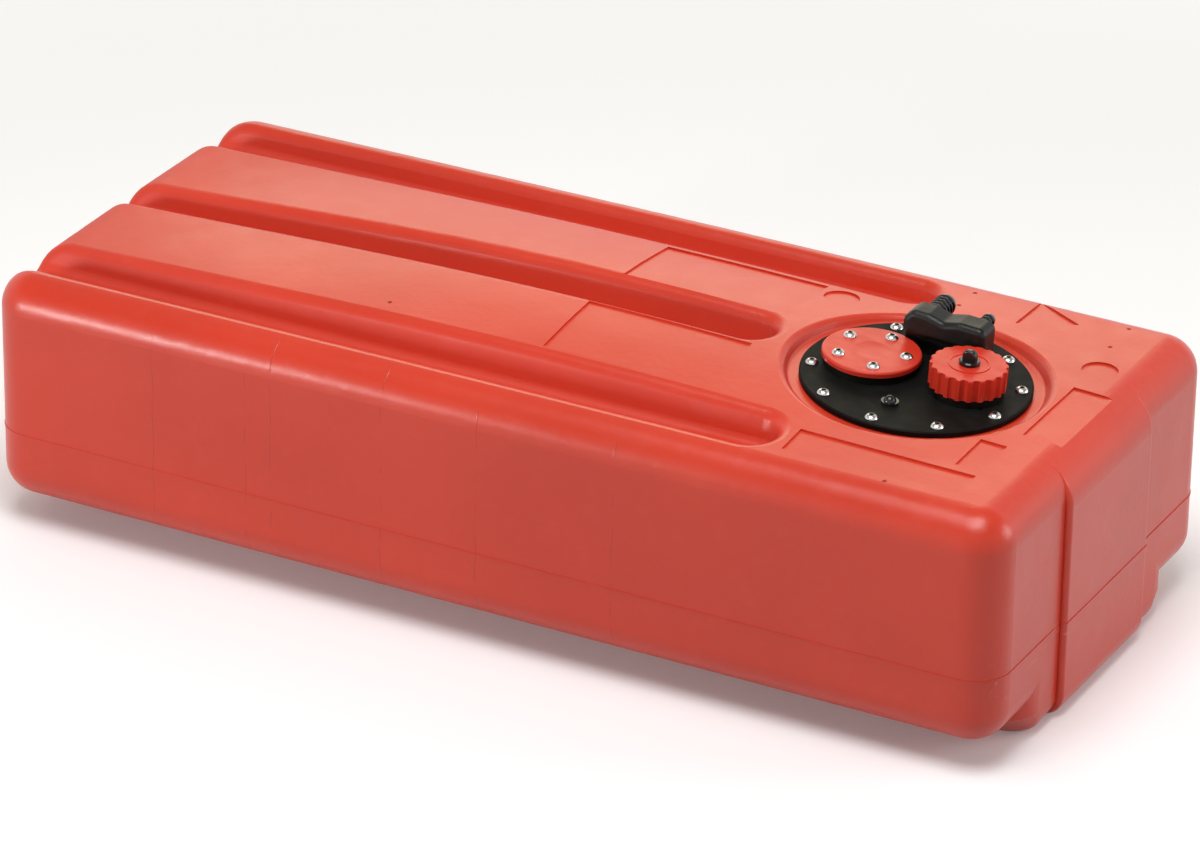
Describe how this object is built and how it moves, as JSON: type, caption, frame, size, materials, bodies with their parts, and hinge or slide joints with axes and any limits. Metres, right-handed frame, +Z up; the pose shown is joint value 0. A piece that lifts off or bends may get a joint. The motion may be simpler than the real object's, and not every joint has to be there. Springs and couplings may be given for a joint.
{
  "type": "portable outboard fuel tank",
  "caption": "Low, flat portable fuel tank with a crowned grooved top and a round fittings plate with a screw filler cap, a vent knob, a gauge port cover and two hose barbs.",
  "frame": {"origin": "on the floor under the middle of the tank", "axes": "+X along the tank towards the fittings end, +Z up"},
  "size_m": [0.8054, 0.355, 0.2322],
  "materials": {
    "shell_red": "satin",
    "cap_red": "semi-gloss",
    "black_plastic": "satin",
    "gloss_black": "gloss",
    "rubber": "matt",
    "stainless": "satin",
    "brass": "satin",
    "grey_plastic": "satin"
  },
  "bodies": {
    "tank": {"tank_shell": "shell_red", "seat_inserts": "brass", "plate_gasket": "rubber", "fittings_plate": "black_plastic", "plate_screws": "stainless", "boss_inserts": "brass", "sender_gasket": "rubber", "sender_cover": "cap_red", "cover_screws": "stainless", "outlet_block": "black_plastic", "port_seals": "rubber", "block_screws": "stainless", "vent_barb": "gloss_black", "fuel_barb": "gloss_black", "barb_seals": "rubber", "pickup_tube": "grey_plastic", "pickup_nut": "brass", "pickup_strainer": "grey_plastic", "spare_plug": "gloss_black", "spare_plug_seal": "rubber"},
    "cap_seal": {"cap_seal": "rubber"},
    "cap": {"filler_cap": "cap_red"},
    "vent_seal": {"vent_seal": "rubber"},
    "vent": {"vent_knob": "gloss_black", "vent_clip": "stainless"}
  },
  "joints": [
    {"name": "cap_lift", "type": "slide", "parent": "tank", "child": "cap_seal", "axis": [0.0602, 0, 0.9982], "range_m": [0, 0.0111]},
    {"name": "cap_turn", "type": "hinge", "parent": "cap_seal", "child": "cap", "pos_m": [0.2903, 0, 0.21284], "axis": [0.0602, 0, 0.9982], "range_deg": [0, 792]},
    {"name": "vent_lift", "type": "slide", "parent": "cap", "child": "vent_seal", "axis": [0.0602, 0, 0.9982], "range_m": [0, 0.00152]},
    {"name": "vent_turn", "type": "hinge", "parent": "vent_seal", "child": "vent", "pos_m": [0.29061, 0, 0.21783], "axis": [0.0602, 0, 0.9982], "range_deg": [0, 360]}
  ],
  "couplings": [
    {"joint": "cap_lift", "follows": "cap_turn", "m_per_rad": 0.00079577},
    {"joint": "vent_lift", "follows": "vent_turn", "m_per_rad": 0.00023873}
  ]
}
